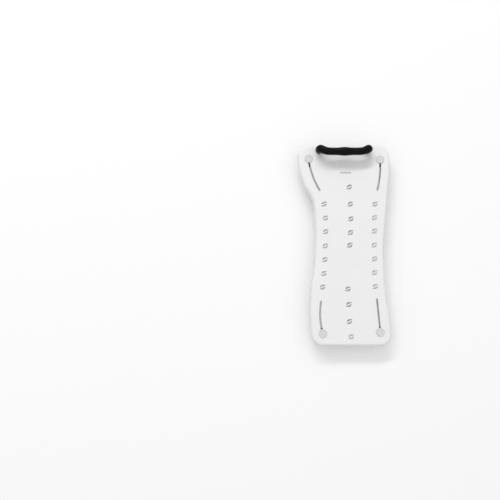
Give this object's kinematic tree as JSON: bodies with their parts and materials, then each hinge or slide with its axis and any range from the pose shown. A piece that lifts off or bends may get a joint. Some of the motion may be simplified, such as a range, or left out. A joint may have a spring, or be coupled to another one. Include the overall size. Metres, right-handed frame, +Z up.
{
  "type": "bath board",
  "caption": "Waisted white moulded board that lies across a bath as a seat, with S-shaped drain holes, slotted adjustable bumpers and a black grab handle at one end.",
  "frame": {"origin": "on the floor plane under the four bumpers, at the middle of the board's outline", "axes": "+Y along the board towards the handle end, +X across it to the right as seen from above with the handle end up, +Z up"},
  "size_m": [0.318, 0.69, 0.1386],
  "materials": {
    "board": "white moulded plastic, satin, rounded edge",
    "cap": "light grey moulded plastic, satin",
    "handle": "black moulded plastic, satin",
    "knob": "pale grey moulded plastic, satin",
    "rubber": "dark grey soft rubber, matt",
    "steel": "stainless steel, turned",
    "brass": "brass, turned"
  },
  "bodies": {
    "board": {"board_shell": "board", "handle": "handle", "handle_gasket_left": "rubber", "handle_insert_left": "brass", "handle_washer_left": "steel", "handle_screw_left": "steel", "handle_gasket_right": "rubber", "handle_insert_right": "brass", "handle_washer_right": "steel", "handle_screw_right": "steel", "rim_pad_handle_left": "rubber", "rim_pad_handle_right": "rubber", "rim_pad_far_left": "rubber", "rim_pad_far_right": "rubber"},
    "slider_handle_left": {"bolt_cap_handle_left": "cap", "clamp_bolt_handle_left": "steel", "clamp_shoe_handle_left": "knob"},
    "bumper_handle_left": {"bumper_core_handle_left": "knob", "bumper_insert_handle_left": "brass", "bumper_sleeve_handle_left": "rubber"},
    "slider_handle_right": {"bolt_cap_handle_right": "cap", "clamp_bolt_handle_right": "steel", "clamp_shoe_handle_right": "knob"},
    "bumper_handle_right": {"bumper_core_handle_right": "knob", "bumper_insert_handle_right": "brass", "bumper_sleeve_handle_right": "rubber"},
    "slider_far_left": {"bolt_cap_far_left": "cap", "clamp_bolt_far_left": "steel", "clamp_shoe_far_left": "knob"},
    "bumper_far_left": {"bumper_core_far_left": "knob", "bumper_insert_far_left": "brass", "bumper_sleeve_far_left": "rubber"},
    "slider_far_right": {"bolt_cap_far_right": "cap", "clamp_bolt_far_right": "steel", "clamp_shoe_far_right": "knob"},
    "bumper_far_right": {"bumper_core_far_right": "knob", "bumper_insert_far_right": "brass", "bumper_sleeve_far_right": "rubber"}
  },
  "joints": [
    {"name": "slide_handle_left", "type": "hinge", "parent": "board", "child": "slider_handle_left", "pos_m": [0.14784, 0.32661, 0.0776], "axis": [0, 0, 1], "range_deg": [0, 23.92]},
    {"name": "turn_handle_left", "type": "hinge", "parent": "slider_handle_left", "child": "bumper_handle_left", "pos_m": [-0.12243, 0.296, 0.022], "axis": [0, 0, -1], "range_deg": [0, 180]},
    {"name": "slide_handle_right", "type": "hinge", "parent": "board", "child": "slider_handle_right", "pos_m": [-0.22677, 0.27682, 0.0776], "axis": [0, 0, -1], "range_deg": [0, 16.83]},
    {"name": "turn_handle_right", "type": "hinge", "parent": "slider_handle_right", "child": "bumper_handle_right", "pos_m": [0.12386, 0.293, 0.022], "axis": [0, 0, -1], "range_deg": [0, 180]},
    {"name": "slide_far_left", "type": "hinge", "parent": "board", "child": "slider_far_left", "pos_m": [0.15455, -0.23772, 0.0776], "axis": [0, 0, -1], "range_deg": [0, 24.83]},
    {"name": "turn_far_left", "type": "hinge", "parent": "slider_far_left", "child": "bumper_far_left", "pos_m": [-0.07886, -0.3016, 0.022], "axis": [0, 0, -1], "range_deg": [0, 180]},
    {"name": "slide_far_right", "type": "slide", "parent": "board", "child": "slider_far_right", "axis": [-0.0865, 0.9963, 0], "range_m": [0, 0.10661]},
    {"name": "turn_far_right", "type": "hinge", "parent": "slider_far_right", "child": "bumper_far_right", "pos_m": [0.11448, -0.297, 0.022], "axis": [0, 0, -1], "range_deg": [0, 180]}
  ]
}
